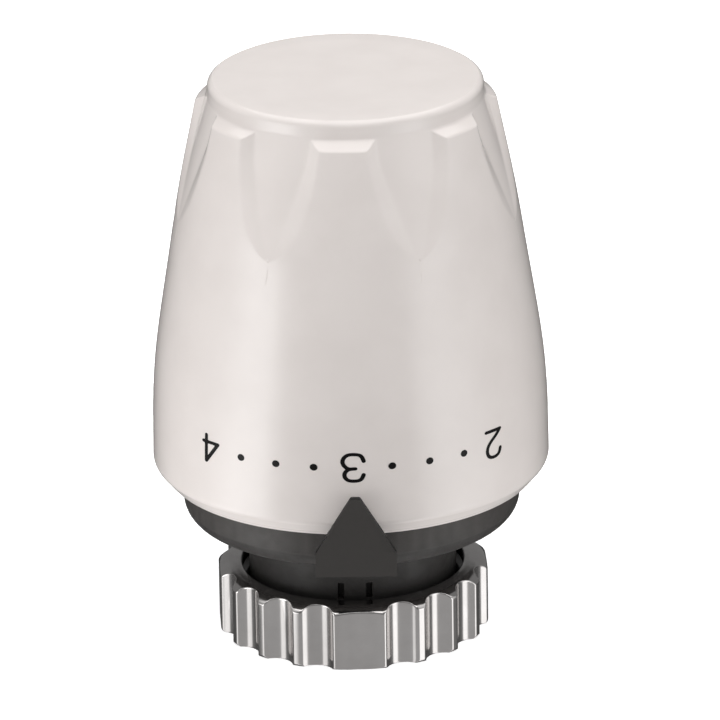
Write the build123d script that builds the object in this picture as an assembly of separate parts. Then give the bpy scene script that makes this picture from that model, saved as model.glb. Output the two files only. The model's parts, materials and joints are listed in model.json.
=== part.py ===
from build123d import *
import os

"""Thermostatic radiator valve head with an M30 x 1.5 union nut.

Millimetres, +Z up.  The origin is on the head's axis, in the lower rim of the
union nut, where the head meets the valve.  The setting pointer faces -Y, and
angles named "heading" are counted from -Y towards +X.
The head is set to 3 at rest.
"""

# ---- Setting travel: 6 to 28 degrees, 0.22 mm of lift for each degree ----
LIFT_RANGE = 4.84
TURN_DOWN = 157.5
TURN_UP = 90.0
LEAD = LIFT_RANGE * 360 / (TURN_DOWN + TURN_UP)
DROP = LEAD * TURN_DOWN / 360
THREAD_STARTS = 3

# ---- Union nut ----
NUT_R = 18.0
NUT_H = 8.6
NUT_CREST_R = 17.95
NUT_CREST_ROUNDING = 0.6
NUT_FOOT_CHAMFER = 0.4
NUT_BROW_LOW = (NUT_R, 7.55)
NUT_BROW_MIDDLE = (17.3, 8.28)
NUT_BROW_TOP = (16.15, NUT_H)
NUT_THREAD_R = 14.19
NUT_THREAD_H = 4.2
NUT_RELIEF_R = 15.1
NUT_LIP_R = 12.06
NUT_LIP_LOW = 5.7
NUT_LIP_HIGH = 7.0
NUT_MOUTH_R = 14.6
NUT_FLAT_DISTANCE = 17.6
NUT_FLAT_HEADING = 2.5
NUT_SIDES = 4
FLUTES_PER_SIDE = 4
FLUTE_PITCH = 18.0
FLUTE_R = 2.45
FLUTE_BOTTOM_R = 16.55

# ---- Base socket: neck, bowl, pin guide and threaded tower ----
SEAT_Z = 4.3
SEAT_R = 12.0
GLAND_R = 10.6
GLAND_TOP = 14.5
NECK_R = 13.6
NECK_LOW = 7.1
BOWL_LOW = 15.5
BOWL_EDGE_R = 18.7
BOWL_R = 22.0
BOWL_CURVE = (21.1, 16.16)
BOWL_SHOULDER_Z = 17.8
BOWL_TOP = 26.0
BOWL_WALL = 1.5
BOWL_BORE_R = BOWL_R - BOWL_WALL
INNER_SHOULDER_Z = 19.2
INNER_CURVE = (19.7, 17.3)
FLOOR_R = 17.3
FLOOR_TOP = 16.3
PIN_POCKET_R = 6.5
PIN_GUIDE_R = 8.1
PIN_PLATE_LOW = 24.2
PIN_PLATE_TOP = 26.0
TOWER_R = 16.6
TOWER_BORE_R = 14.6
TOWER_TOP = 33.8
RIDGE_R = 17.6
RIDGE_ROOT_R = 16.2
RIDGE_ROOT_HALF = 0.66
RIDGE_TIP_HALF = 0.45
RIDGE_START_Z = 23.0
RIDGE_TURN = 412
KEY_COUNT = 3
KEY_W = 3.0
KEY_R = 15.3
KEY_TOP = 33.0
KEY_HEADING = 60
KEY_WAY_LOW = 22.0
KEY_PLAY = 0.1
RING_LOW = 4.6
RING_HIGH = 5.6
RING_R = 13.8
RING_GAP = 5.0
RING_GROOVE_R = 11.4
RING_PLAY = 0.03
END_STOP_W = 1.6
END_STOP_DEPTH = 1.1
END_STOP_CLEAR = 9.5
END_STOP_HEADING = (TURN_DOWN + TURN_UP) / 2 + END_STOP_CLEAR
NECK_SLOT_W = 0.85
NECK_SLOT_DEPTH = 1.0
NECK_SLOT_MIDDLE = 1.0
NECK_SLOT_HEADING = 7.8
NECK_SLOT_LOW = 8.4
NECK_SLOT_HIGH = 10.5

# ---- Setting pointer ----
POINTER_X = 0.43
POINTER_FACE_Y = -27.6
POINTER_THICK = 0.9
POINTER_HALF_W = 5.2
POINTER_LOW = 17.2
POINTER_SHOULDER_Z = 20.4
POINTER_TIP_Z = 27.9
POINTER_TIP_HALF_W = 0.6
POINTER_ROUNDING = 0.35
POINTER_SHOULDER_ROUNDING = 0.9
FOOT_HALF_W = 3.6
FOOT_LOW = 15.2
FOOT_HIGH = 16.9
FOOT_END_Y = -17.9
FOOT_UNDER_Y = -21.5
FOOT_WEB_Y = -22.9
FOOT_WEB_Z = 19.9

# ---- Limit clips ----
LIMIT_CLIP_W = 2.4
LIMIT_CLIP_THICK = 0.9
LIMIT_CLIP_LOW = 21.5
LIMIT_CLIP_PLAY = 0.05
LIMIT_CLIP_BAR_H = 0.8
LIMIT_CLIP_HEADINGS = (154, 206)

# ---- Handwheel: cap and threaded sleeve ----
CAP_RIM_Z = 21.69
CAP_RIM_R = 24.26
CAP_TOP_Z = 75.5
CAP_TOP_R = 17.14
CAP_SHOULDER_LOW = (25.65, 23.37)
CAP_SHOULDER_MIDDLE = (25.82, 23.69)
CAP_TAPER = [
    (25.89, 24.1),
    (25.79, 30.0),
    (25.41, 37.0),
    (24.48, 44.0),
    (23.2, 52.0),
    (21.93, 60.0),
    (20.37, 68.0),
    (19.5, 72.1),
]
CAP_NECK_LOW_Z = 73.1
CAP_NECK_HIGH = (17.85, 74.0)
CAP_TOP_CURVE = (17.68, 75.0)
CAP_BORE_R = 22.4
CAP_BORE_TOP = 24.4
CAP_ROOM = [(24.1, 26.2), (24.15, 30.0), (23.65, 37.0), (22.8, 44.0), (21.4, 52.0), (20.4, 58.3)]
CAP_ROOF_EDGE = (16.5, 72.0)
CAP_ROOF_R = 15.2
CAP_ROOF_Z = 73.5
PANEL_COUNT = 7
PANEL_HEADING = -1.4
GROOVE_TIP_Z = 58.3
GROOVE_TOP_Z = 73.2
GROOVE_HALF_W = 4.9
GROOVE_CURVE = (3.5, 63.2)
GROOVE_NEAR = 14.0
GROOVE_FLOOR_TOP_R = 17.95
GROOVE_FLOOR_TIP_R = 22.15
RIB_COUNT = 6
RIB_W = 1.4
RIB_R = 19.9
RIB_TOP = 58.0
RIB_HEADING = 30
WALL_REACH_R = 24.0
HOOK_COUNT = 3
HOOK_W = 6.0
HOOK_GRIP = 0.7
HOOK_THICK = 1.2
SLEEVE_LOW = 21.5
SLEEVE_BORE_R = 17.8
SLEEVE_R = 18.9
SLEEVE_UPPER_R = 19.4
SLEEVE_STEP_Z = 31.0
SLEEVE_FLANGE_LOW = 46.0
SLEEVE_FLANGE_TOP = 48.0
SLEEVE_FLANGE_R = 22.0
LEDGE_R = 16.6
LEDGE_LOW = 41.3
LEDGE_HIGH = 43.0
SLEEVE_WAIST_R = 18.2
LUG_SPAN = 24
LUG_HEADING = 178
LUG_TIP_R = 16.85
LUG_ROOT_R = 18.0
LUG_TIP_HALF = 0.34
LUG_ROOT_HALF = 0.46
STOP_HEADING = (TURN_DOWN - TURN_UP) / 2
STOP_W = 2.6
STOP_R = 20.1
STOP_LOW = 22.8
STOP_HIGH = 25.0
SNAP_LOW = 37.45
SNAP_HIGH = 38.45
SNAP_INNER_R = 16.9
SNAP_OUTER_R = 18.5
SNAP_GAP = 6.0
SNAP_HEADING = 150
WASHER_PLAY = 0.05

# ---- Sensor ----
CARRIER_R = 14.55
CARRIER_BORE_R = 12.4
CARRIER_LOW = 27.0
FLANGE_LOW = 38.6
FLANGE_TOP = 40.6
FLANGE_R = 17.72
FLANGE_HOLE_R = 8.0
FINGER_W = 4.0
FINGER_NEAR_R = 15.6
FINGER_FAR_R = 16.4
CATCH_R = 14.8
CAN_R = 14.2
CAN_WALL = 0.5
CAN_CORNER = 1.5
CAN_RIM_R = 15.5
CAN_TOP = 68.0
PLATE_TOP = 41.6
RIM_TOP = 42.4
CLAMP_TOP = 43.2
CLAMP_PLAY = 0.05
CLAMP_GAP = 4.0
CATCH_TOP = 44.2
BELLOWS_INNER_R = 7.9
BELLOWS_OUTER_R = 10.9
BELLOWS_FOLDS = 9
BELLOWS_WALL = 0.35
BELLOWS_TOP = 60.4
FILL_HOLE_R = 1.6
PLUG_DEPTH = 1.2
PLUG_HEAD_R = 2.6
PLUG_HEAD_H = 1.1

# ---- Plunger and its overtravel spring ----
CUP_R = 7.2
CUP_WALL = 0.5
CUP_LOW = 42.4
CUP_LID = 0.6
CUP_LID_R = 9.5
CLIP_LOW = 43.0
CLIP_HIGH = 43.8
CLIP_GROOVE_R = 6.95
CLIP_INNER_R = 3.0
CLIP_GAP = 3.0
SPRING_SEAT_LOW = 43.9
SPRING_SEAT_TOP = 45.3
SPRING_SEAT_R = 6.4
SPRING_MEAN_R = 5.2
SPRING_WIRE_R = 0.6
SPRING_TURNS = 7
SPRING_PLAY = 0.02
ROD_R = 2.4
ROD_TOP = 48.0
ROD_PLAY = 0.08
PRESSURE_LOW = 16.3
PRESSURE_TOP = 18.2
PRESSURE_SOCKET_Z = 17.3
PRESSURE_R = 5.8

SITTING = (Align.CENTER, Align.CENTER, Align.MIN)


def rod(radius, low, high):
    """A plain cylinder on the axis."""
    return Pos(0, 0, low) * Cylinder(radius, high - low, align=SITTING)


def tube(outer, inner, low, high):
    """A plain ring on the axis."""
    return rod(outer, low, high) - rod(inner, low, high)


def turned(*edges):
    """A solid turned from a closed outline drawn as (radius, height)."""
    return revolve(Plane.XZ * make_face(edges), axis=Axis.Z)


def block(width, near_r, far_r, low, high):
    """A radial block at heading 0, from one radius out to another."""
    depth = far_r - near_r
    place = Pos(0, -(near_r + far_r) / 2, low)
    return place * Box(width, depth, high - low, align=SITTING)


def around(shape, count, first=0.0):
    """Copies of a shape, evenly spaced about the axis."""
    return [Rot(0, 0, first + 360 * i / count) * shape for i in range(count)]


def split_ring(outer, inner, low, high, gap_w, heading):
    """A spring ring with a gap in it."""
    gap = Rot(0, 0, heading) * block(gap_w, inner - 1, outer + 1, low - 1, high + 1)
    return tube(outer, inner, low, high) - gap


def helical_bar(inner_r, outer_r, inner_half, outer_half, low, start, turn):
    """A bar of trapezoid section that climbs round the axis on the setting lead."""
    path = Helix(pitch=LEAD, height=LEAD * turn / 360, radius=inner_r)
    outline = Polyline(
        (inner_r, -inner_half),
        (outer_r, -outer_half),
        (outer_r, outer_half),
        (inner_r, inner_half),
        close=True,
    )
    section = Plane.XZ * make_face(outline)
    bar = sweep(section, path=path, is_frenet=True)
    return Rot(0, 0, start) * Pos(0, 0, low) * bar


# ---------------------------------------------------------------- union nut


def nut_outline():
    """The nut seen along its axis: flats and flutes, with rounded crests between them."""
    outline = Circle(NUT_CREST_R)
    flute = Pos(0, -(FLUTE_BOTTOM_R + FLUTE_R)) * Circle(FLUTE_R)
    flat = Pos(0, -(NUT_FLAT_DISTANCE + NUT_R / 2)) * Rectangle(NUT_R, NUT_R)
    middle = (FLUTES_PER_SIDE - 1) / 2
    for side in range(NUT_SIDES):
        heading = NUT_FLAT_HEADING + 360 * side / NUT_SIDES
        outline -= Rot(0, 0, heading) * flat
        for i in range(FLUTES_PER_SIDE):
            turn = heading + 180 / NUT_SIDES + (i - middle) * FLUTE_PITCH
            outline -= Rot(0, 0, turn) * flute
    return fillet(outline.vertices(), NUT_CREST_ROUNDING)


def union_nut():
    """Nickel-plated union nut: four wrench flats with four flutes between each two."""
    outside = [
        Polyline(
            (NUT_THREAD_R, 0),
            (NUT_R - NUT_FOOT_CHAMFER, 0),
            (NUT_R, NUT_FOOT_CHAMFER),
            NUT_BROW_LOW,
        ),
        ThreePointArc(NUT_BROW_LOW, NUT_BROW_MIDDLE, NUT_BROW_TOP),
    ]
    inside = Polyline(
        NUT_BROW_TOP,
        (NUT_MOUTH_R, NUT_H),
        (NUT_MOUTH_R, NUT_LIP_HIGH),
        (NUT_LIP_R, NUT_LIP_HIGH),
        (NUT_LIP_R, NUT_LIP_LOW),
        (NUT_RELIEF_R, NUT_LIP_LOW),
        (NUT_RELIEF_R, NUT_THREAD_H),
        (NUT_THREAD_R, NUT_THREAD_H),
        (NUT_THREAD_R, 0),
    )
    return turned(*outside, inside) & extrude(nut_outline(), amount=NUT_H)


def retaining_ring():
    """Spring ring in the neck's groove that keeps the nut on the head."""
    return split_ring(RING_R, RING_GROOVE_R + RING_PLAY, RING_LOW, RING_HIGH, RING_GAP, 180)


# -------------------------------------------------------------- base socket


def base_shell():
    """The turned shape of the base: seat, neck, bowl, tower and pin guide."""
    outside = [
        Polyline(
            (GLAND_R, SEAT_Z),
            (SEAT_R, SEAT_Z),
            (SEAT_R, RING_LOW),
            (RING_GROOVE_R, RING_LOW),
            (RING_GROOVE_R, RING_HIGH),
            (SEAT_R, RING_HIGH),
            (SEAT_R, NECK_LOW),
            (NECK_R, NECK_LOW),
            (NECK_R, BOWL_LOW),
            (BOWL_EDGE_R, BOWL_LOW),
        ),
        ThreePointArc((BOWL_EDGE_R, BOWL_LOW), BOWL_CURVE, (BOWL_R, BOWL_SHOULDER_Z)),
        Polyline(
            (BOWL_R, BOWL_SHOULDER_Z),
            (BOWL_R, BOWL_TOP),
            (BOWL_BORE_R, BOWL_TOP),
            (BOWL_BORE_R, INNER_SHOULDER_Z),
        ),
        ThreePointArc((BOWL_BORE_R, INNER_SHOULDER_Z), INNER_CURVE, (FLOOR_R, FLOOR_TOP)),
    ]
    inside = Polyline(
        (FLOOR_R, FLOOR_TOP),
        (TOWER_R, FLOOR_TOP),
        (TOWER_R, TOWER_TOP),
        (TOWER_BORE_R, TOWER_TOP),
        (TOWER_BORE_R, FLOOR_TOP),
        (PIN_GUIDE_R, FLOOR_TOP),
        (PIN_GUIDE_R, PIN_PLATE_TOP),
        (ROD_R + ROD_PLAY, PIN_PLATE_TOP),
        (ROD_R + ROD_PLAY, PIN_PLATE_LOW),
        (PIN_POCKET_R, PIN_PLATE_LOW),
        (PIN_POCKET_R, GLAND_TOP),
        (GLAND_R, GLAND_TOP),
        (GLAND_R, SEAT_Z),
    )
    return turned(*outside, inside)


def base_socket():
    """Black base: guides the sensor, carries the setting thread and the end stops."""
    body = base_shell()
    ridge = helical_bar(
        RIDGE_ROOT_R, RIDGE_R, RIDGE_ROOT_HALF, RIDGE_TIP_HALF, RIDGE_START_Z, 0, RIDGE_TURN
    )
    for copy in around(ridge, THREAD_STARTS):
        body += copy
    key_way_w = KEY_W + 2 * KEY_PLAY
    key_way = block(key_way_w, TOWER_BORE_R - 1, KEY_R + KEY_PLAY, KEY_WAY_LOW, TOWER_TOP + 1)
    for copy in around(key_way, KEY_COUNT, KEY_HEADING):
        body -= copy
    stop_near_r = BOWL_BORE_R - END_STOP_DEPTH
    stop_far_r = BOWL_BORE_R + BOWL_WALL / 2
    stop = block(END_STOP_W, stop_near_r, stop_far_r, FLOOR_TOP, BOWL_TOP)
    slot_near_r = NECK_R - NECK_SLOT_DEPTH
    slot = block(NECK_SLOT_W, slot_near_r, NECK_R + 1, NECK_SLOT_LOW, NECK_SLOT_HIGH)
    for side in (-1, 1):
        body += Rot(0, 0, side * END_STOP_HEADING) * stop
        body -= Rot(0, 0, NECK_SLOT_MIDDLE + side * NECK_SLOT_HEADING) * slot
    foot_room = Pos(POINTER_X, 0, 0) * block(
        2 * FOOT_HALF_W, -FOOT_END_Y, BOWL_R + 1, FOOT_LOW, FOOT_HIGH
    )
    return body - foot_room


def setting_pointer():
    """Black house-shaped pointer in front of the scale, on a foot in the bowl."""
    half = POINTER_HALF_W
    outline = Polyline(
        (-half, POINTER_LOW),
        (half, POINTER_LOW),
        (half, POINTER_SHOULDER_Z),
        (POINTER_TIP_HALF_W, POINTER_TIP_Z),
        (-POINTER_TIP_HALF_W, POINTER_TIP_Z),
        (-half, POINTER_SHOULDER_Z),
        close=True,
    )
    back_y = POINTER_FACE_Y + POINTER_THICK
    front = Plane((0, back_y, 0), x_dir=(1, 0, 0), z_dir=(0, -1, 0))
    house = make_face(outline)
    shoulders = house.vertices().sort_by(Axis.Y)[2:4]
    house = fillet(shoulders, POINTER_SHOULDER_ROUNDING)
    tip = house.vertices().sort_by(Axis.Y)[-2:]
    plate = extrude(front * fillet(tip, POINTER_ROUNDING), amount=POINTER_THICK)
    foot_outline = Polyline(
        (back_y, POINTER_LOW),
        (FOOT_UNDER_Y, FOOT_LOW),
        (FOOT_END_Y, FOOT_LOW),
        (FOOT_END_Y, FOOT_HIGH),
        (FOOT_WEB_Y, FOOT_HIGH),
        (back_y, FOOT_WEB_Z),
        close=True,
    )
    foot = extrude(Plane.YZ * make_face(foot_outline), amount=FOOT_HALF_W, both=True)
    return Pos(POINTER_X, 0, 0) * (plate + foot)


def limit_clips():
    """Two clips that can limit the setting range, parked behind the end stops."""
    near_r = BOWL_BORE_R - LIMIT_CLIP_THICK
    leg = block(LIMIT_CLIP_W, near_r, BOWL_BORE_R - LIMIT_CLIP_PLAY, LIMIT_CLIP_LOW, BOWL_TOP)
    bar_far_r = BOWL_R - 2 * LIMIT_CLIP_PLAY
    bar = block(LIMIT_CLIP_W, near_r, bar_far_r, BOWL_TOP, BOWL_TOP + LIMIT_CLIP_BAR_H)
    clip = leg + bar
    return Compound(children=[Rot(0, 0, heading) * clip for heading in LIMIT_CLIP_HEADINGS])


# ---------------------------------------------------------------- handwheel


def cap_outside():
    """The cap's outer form, filled, with its shoulder, long taper and top disc."""
    neck_low = (GROOVE_FLOOR_TOP_R, CAP_NECK_LOW_Z)
    return turned(
        Line((0, CAP_RIM_Z), (CAP_RIM_R, CAP_RIM_Z)),
        Line((CAP_RIM_R, CAP_RIM_Z), CAP_SHOULDER_LOW),
        ThreePointArc(CAP_SHOULDER_LOW, CAP_SHOULDER_MIDDLE, CAP_TAPER[0]),
        Spline(*CAP_TAPER),
        Line(CAP_TAPER[-1], neck_low),
        Line(neck_low, CAP_NECK_HIGH),
        ThreePointArc(CAP_NECK_HIGH, CAP_TOP_CURVE, (CAP_TOP_R, CAP_TOP_Z)),
        Line((CAP_TOP_R, CAP_TOP_Z), (0, CAP_TOP_Z)),
        Line((0, CAP_TOP_Z), (0, CAP_RIM_Z)),
    )


def cap_inside():
    """The room inside the cap."""
    return turned(
        Polyline(
            (0, CAP_RIM_Z - 1),
            (CAP_BORE_R, CAP_RIM_Z - 1),
            (CAP_BORE_R, CAP_BORE_TOP),
            *CAP_ROOM,
            CAP_ROOF_EDGE,
            (CAP_ROOF_R, CAP_ROOF_Z),
            (0, CAP_ROOF_Z),
            close=True,
        )
    )


def grip_groove():
    """One pointed groove at heading 0, cut down to a cone that tapers upwards."""
    tip = (0, GROOVE_TIP_Z)
    curve_x, curve_z = GROOVE_CURVE
    edges = []
    for side in (-1, 1):
        top_corner = (side * GROOVE_HALF_W, GROOVE_TOP_Z)
        edges.append(ThreePointArc(tip, (side * curve_x, curve_z), top_corner))
    edges.append(Line((-GROOVE_HALF_W, GROOVE_TOP_Z), (GROOVE_HALF_W, GROOVE_TOP_Z)))
    front = Plane((0, -GROOVE_NEAR, 0), x_dir=(1, 0, 0), z_dir=(0, -1, 0))
    wedge = extrude(front * make_face(edges), amount=GROOVE_NEAR)
    below = 2.0
    slope = (GROOVE_FLOOR_TIP_R - GROOVE_FLOOR_TOP_R) / (GROOVE_TOP_Z - GROOVE_TIP_Z)
    floor = turned(
        Polyline(
            (0, GROOVE_TIP_Z - below),
            (GROOVE_FLOOR_TIP_R + slope * below, GROOVE_TIP_Z - below),
            (GROOVE_FLOOR_TOP_R, GROOVE_TOP_Z),
            (0, GROOVE_TOP_Z),
            close=True,
        )
    )
    return wedge - floor


def dial_cap():
    """White handwheel cap with seven grip panels, ribs and snap hooks inside."""
    outside = cap_outside()
    rib = block(RIB_W, RIB_R, WALL_REACH_R, SLEEVE_FLANGE_TOP, RIB_TOP)
    hook_near_r = SLEEVE_FLANGE_R - HOOK_GRIP
    hook_low = SLEEVE_FLANGE_LOW - HOOK_THICK
    hook = block(HOOK_W, hook_near_r, WALL_REACH_R, hook_low, SLEEVE_FLANGE_LOW)
    cap = outside - cap_inside()
    for copy in around(rib, RIB_COUNT, RIB_HEADING):
        cap += copy & outside
    for copy in around(hook, HOOK_COUNT):
        cap += copy & outside
    half_pitch = 180 / PANEL_COUNT
    for copy in around(grip_groove(), PANEL_COUNT, PANEL_HEADING + half_pitch):
        cap -= copy
    return cap


def threaded_sleeve():
    """Inner part of the handwheel: setting lugs below, seat of the sensor above."""
    body = turned(
        Polyline(
            (SLEEVE_BORE_R, SLEEVE_LOW),
            (SLEEVE_R, SLEEVE_LOW),
            (SLEEVE_R, SLEEVE_STEP_Z),
            (SLEEVE_UPPER_R, SLEEVE_STEP_Z),
            (SLEEVE_UPPER_R, LEDGE_HIGH),
            (SLEEVE_WAIST_R, SLEEVE_FLANGE_LOW),
            (SLEEVE_FLANGE_R, SLEEVE_FLANGE_LOW),
            (SLEEVE_FLANGE_R, SLEEVE_FLANGE_TOP),
            (LEDGE_R, SLEEVE_FLANGE_TOP),
            (LEDGE_R, LEDGE_LOW),
            (SLEEVE_BORE_R, LEDGE_LOW),
            (SLEEVE_BORE_R, SNAP_HIGH),
            (SNAP_OUTER_R, SNAP_HIGH),
            (SNAP_OUTER_R, SNAP_LOW),
            (SLEEVE_BORE_R, SNAP_LOW),
            close=True,
        )
    )
    lug_start = LUG_HEADING - LUG_SPAN / 2
    lug_low = RIDGE_START_Z + LEAD * lug_start / 360 + LEAD / THREAD_STARTS / 2
    lug = helical_bar(
        LUG_TIP_R, LUG_ROOT_R, LUG_TIP_HALF, LUG_ROOT_HALF, lug_low, lug_start, LUG_SPAN
    )
    for copy in around(lug, THREAD_STARTS):
        body += copy
    stop = block(STOP_W, (SLEEVE_BORE_R + SLEEVE_R) / 2, STOP_R, STOP_LOW, STOP_HIGH)
    return body + Rot(0, 0, STOP_HEADING) * stop


def sleeve_snap_ring():
    """Spring ring that keeps the sensor flange inside the sleeve."""
    return split_ring(SNAP_OUTER_R, SNAP_INNER_R, SNAP_LOW, SNAP_HIGH, SNAP_GAP, SNAP_HEADING)


def thrust_washer():
    """Slippery washer between the sleeve's ledge and the sensor flange."""
    outer_r = SLEEVE_BORE_R - 2 * WASHER_PLAY
    inner_r = LEDGE_R + WASHER_PLAY
    return tube(outer_r, inner_r, FLANGE_TOP + WASHER_PLAY, LEDGE_LOW - WASHER_PLAY)


# ------------------------------------------------------------------- sensor


def sensor_carrier():
    """Keyed carrier: it rises and falls in the tower, but can't turn."""
    body = tube(CARRIER_R, CARRIER_BORE_R, CARRIER_LOW, FLANGE_LOW)
    body += tube(FLANGE_R, FLANGE_HOLE_R, FLANGE_LOW, FLANGE_TOP)
    key = block(KEY_W, CARRIER_R - 1, KEY_R, CARRIER_LOW, KEY_TOP)
    for copy in around(key, KEY_COUNT, KEY_HEADING):
        body += copy
    finger = block(FINGER_W, FINGER_NEAR_R, FINGER_FAR_R, FLANGE_TOP, CATCH_TOP)
    catch = block(FINGER_W, CATCH_R, FINGER_FAR_R, CLAMP_TOP, CATCH_TOP)
    for copy in around(finger + catch, KEY_COUNT):
        body += copy
    return body


def sensor_end_plate():
    """Plate that closes the sensor below and carries the bellows."""
    return tube(CAN_RIM_R, BELLOWS_INNER_R, FLANGE_TOP, PLATE_TOP)


def sensor_can():
    """Thin metal can that holds the expanding liquid."""
    inner = CAN_R - CAN_WALL
    arc_low = (CAN_R, CAN_TOP - CAN_CORNER)
    arc_high = (CAN_R - CAN_CORNER, CAN_TOP)
    return turned(
        Polyline(
            (FILL_HOLE_R, CAN_TOP),
            (FILL_HOLE_R, CAN_TOP - CAN_WALL),
            (inner, CAN_TOP - CAN_WALL),
            (inner, PLATE_TOP),
            (CAN_RIM_R, PLATE_TOP),
            (CAN_RIM_R, RIM_TOP),
            (CAN_R, RIM_TOP),
            arc_low,
        ),
        RadiusArc(arc_low, arc_high, -CAN_CORNER),
        Line(arc_high, (FILL_HOLE_R, CAN_TOP)),
    )


def sensor_clamp_ring():
    """Spring ring under the carrier's catches that presses the can's rim down."""
    return split_ring(CAN_RIM_R, CAN_R + CLAMP_PLAY, RIM_TOP, CLAMP_TOP, CLAMP_GAP, 90)


def sensor_fill_plug():
    """Plug that seals the sensor's filling hole."""
    shank = rod(FILL_HOLE_R, CAN_TOP - PLUG_DEPTH, CAN_TOP)
    return shank + rod(PLUG_HEAD_R, CAN_TOP, CAN_TOP + PLUG_HEAD_H)


def sensor_bellows():
    """Folded metal bellows, shortened by the liquid as it warms."""
    fold = (BELLOWS_TOP - PLATE_TOP) / BELLOWS_FOLDS
    inner_r = BELLOWS_INNER_R
    outer_r = BELLOWS_OUTER_R - BELLOWS_WALL
    line = [(inner_r, PLATE_TOP)]
    for i in range(BELLOWS_FOLDS):
        low = PLATE_TOP + i * fold
        line.append((outer_r, low + fold / 2))
        line.append((inner_r, low + fold))
    back = [(r + BELLOWS_WALL, z) for r, z in reversed(line)]
    return turned(Polyline(*line, *back, close=True))


# ------------------------------------------------------------------ plunger


def bellows_end_cup():
    """Inverted cup on the moving end of the bellows, with the spring inside it."""
    body = rod(CUP_LID_R, BELLOWS_TOP, BELLOWS_TOP + CUP_LID)
    body += tube(CUP_R, CUP_R - CUP_WALL, CUP_LOW, BELLOWS_TOP)
    return body - tube(CLIP_GROOVE_R, CUP_R - 1, CLIP_LOW, CLIP_HIGH)


def spring_retainer():
    """Circlip that closes the cup under the spring seat."""
    return split_ring(CLIP_GROOVE_R - RING_PLAY, CLIP_INNER_R, CLIP_LOW, CLIP_HIGH, CLIP_GAP, 0)


def overtravel_spring():
    """Spring that gives way when the valve is already shut."""
    low = SPRING_SEAT_TOP + SPRING_WIRE_R
    height = BELLOWS_TOP - SPRING_WIRE_R - low
    path = Helix(pitch=height / SPRING_TURNS, height=height, radius=SPRING_MEAN_R)
    wire = Plane(path @ 0, z_dir=path % 0) * Circle(SPRING_WIRE_R - SPRING_PLAY)
    return Pos(0, 0, low) * sweep(wire, path=path, is_frenet=True)


def spring_seat():
    """Disc on the push rod that the spring presses down."""
    return tube(SPRING_SEAT_R, ROD_R, SPRING_SEAT_LOW, SPRING_SEAT_TOP)


def push_rod():
    """Rod from the spring seat down to the pressure piece."""
    return rod(ROD_R, PRESSURE_SOCKET_Z, ROD_TOP)


def pressure_piece():
    """Shoe that bears on the valve's pin."""
    return rod(PRESSURE_R, PRESSURE_LOW, PRESSURE_TOP) - rod(ROD_R, PRESSURE_SOCKET_Z, PRESSURE_TOP)


SUBPARTS = [
    union_nut,
    retaining_ring,
    base_socket,
    setting_pointer,
    limit_clips,
    dial_cap,
    threaded_sleeve,
    sleeve_snap_ring,
    thrust_washer,
    sensor_carrier,
    sensor_end_plate,
    sensor_can,
    sensor_clamp_ring,
    sensor_fill_plug,
    sensor_bellows,
    bellows_end_cup,
    spring_retainer,
    overtravel_spring,
    spring_seat,
    push_rod,
    pressure_piece,
]

os.makedirs("parts", exist_ok=True)
for make in SUBPARTS:
    export_step(make(), f"parts/{make.__name__}.step")
print(f"lead {LEAD:.3f} mm, drop {DROP:.3f} mm, rise {LIFT_RANGE - DROP:.3f} mm")
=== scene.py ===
"""Looks of the thermostatic radiator valve head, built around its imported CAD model.

Lengths are millimetres until they reach a mesh, where MM turns them into metres.
A "heading" is an angle about the head's axis, counted from the pointer's side (-Y) towards +X.
"""
import bmesh
import bpy
import json
import math
import numpy as np
from mathutils import Matrix, Vector


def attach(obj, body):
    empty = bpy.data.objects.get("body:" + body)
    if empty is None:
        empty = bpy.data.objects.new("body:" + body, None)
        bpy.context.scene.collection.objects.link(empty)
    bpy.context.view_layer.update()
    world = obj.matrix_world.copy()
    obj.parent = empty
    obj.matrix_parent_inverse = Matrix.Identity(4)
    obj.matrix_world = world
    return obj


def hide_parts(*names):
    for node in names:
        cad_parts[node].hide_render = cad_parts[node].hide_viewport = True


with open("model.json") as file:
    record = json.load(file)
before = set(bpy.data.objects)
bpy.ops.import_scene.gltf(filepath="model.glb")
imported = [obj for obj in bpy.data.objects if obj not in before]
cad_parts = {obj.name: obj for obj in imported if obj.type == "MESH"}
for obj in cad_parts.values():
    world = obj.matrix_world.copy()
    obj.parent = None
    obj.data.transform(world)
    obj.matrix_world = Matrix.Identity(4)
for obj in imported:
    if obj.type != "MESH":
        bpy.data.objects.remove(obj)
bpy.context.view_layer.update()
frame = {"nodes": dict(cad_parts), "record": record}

MM = 0.001

# ---- Cap: outer taper and groove floor as (height, radius), rim and shoulder as (radius, height) ----
TAPER = [
    (24.1, 25.88), (30.0, 25.78), (37.0, 25.4), (44.0, 24.48),
    (52.0, 23.2), (60.0, 21.92), (68.0, 20.36), (73.5, 19.24),
]
CAP_RIM_Z = 21.69
CAP_RIM_R = 24.25
CAP_BORE_R = 22.4
CONE_HIGH = (25.64, 23.37)
SHOULDER_MIDDLE = (25.81, 23.7)
PANELS = 7
PANEL_HEADING = -1.4
HALF_PITCH = 180 / PANELS
FLOOR_TIP = (58.0, 22.22)
FLOOR_TOP = (73.3, 17.95)
PANEL_TOP_Z = 72.05
BEVEL_TOP_Z = 73.0
# Half angles, in degrees, of a groove's outer edges and of its floor, as (height, angle)
GROOVE_EDGE = [
    (57.3, 0.0), (58.3, 3.9), (60.8, 9.3), (64.0, 12.8),
    (66.9, 14.9), (68.5, 15.8), (73.5, 17.0),
]
GROOVE_FLOOR = [(57.3, 0.0), (58.7, 1.6), (60.4, 3.1), (65.8, 7.8), (69.8, 11.2), (73.5, 13.0)]
GROOVE_WALL_LEAST = 0.3
ROUNDING = 0.2
DISC_R = 17.14
CAP_TOP_Z = 75.5
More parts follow.
